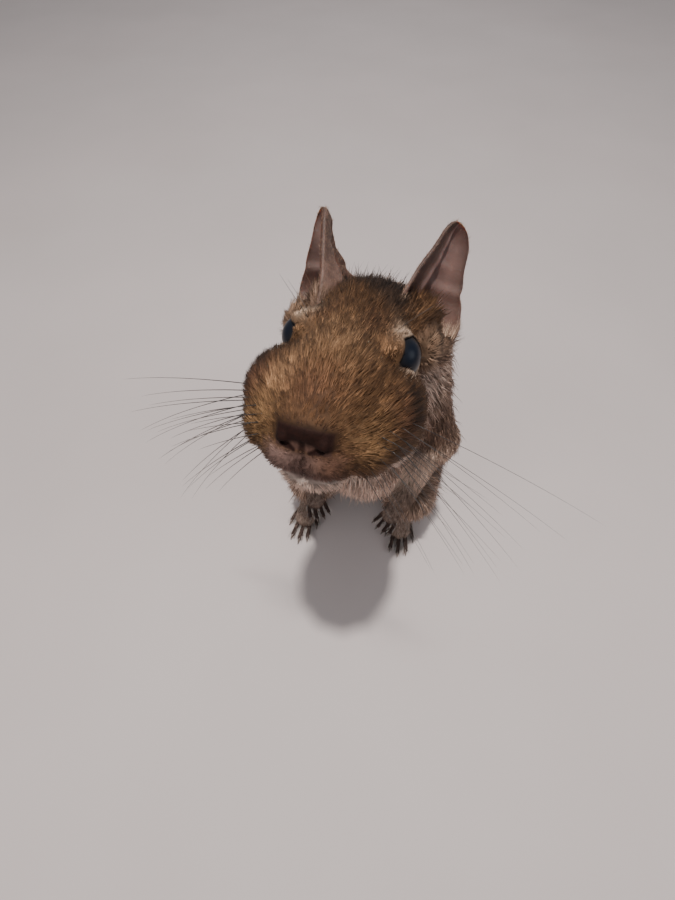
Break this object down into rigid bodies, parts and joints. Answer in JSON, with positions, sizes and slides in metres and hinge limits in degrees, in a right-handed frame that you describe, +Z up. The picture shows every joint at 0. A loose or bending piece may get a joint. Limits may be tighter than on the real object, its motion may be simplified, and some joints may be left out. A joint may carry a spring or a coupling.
{
  "type": "degu figure",
  "caption": "Life-size still model of a degu sitting upright on its haunches with its head raised and turned a little, long tail with a dark brush laid behind it.",
  "frame": {"origin": "on the floor, below the middle of the model's own box, whiskers and tail included", "axes": "+Z up, -Y the way the body faces, +X the animal's own left; the tail trails towards +Y"},
  "size_m": [0.0928, 0.1951, 0.134],
  "materials": {
    "coat": "short agouti fur, yellow-brown with dark ticking, paler below",
    "dark_hair": "long coarse near-black hair",
    "bare_skin": "thin grey-pink ear skin with fine down",
    "paw_skin": "dark toes and claws with pale short fur above",
    "eye": "wet gloss, blue-black"
  },
  "bodies": {
    "root": {"head": "coat", "snout": "coat", "neck": "coat", "chest": "coat", "abdomen": "coat", "thigh_left": "coat", "thigh_right": "coat", "foreleg_left": "coat", "foreleg_right": "coat", "tail_base": "coat", "tail_middle": "coat", "tail_tuft": "dark_hair", "ear_left": "bare_skin", "ear_right": "bare_skin", "forepaw_left": "paw_skin", "forepaw_right": "paw_skin", "hind_foot_left": "paw_skin", "hind_foot_right": "paw_skin", "eye_left": "eye", "eye_right": "eye"}
  },
  "joints": []
}
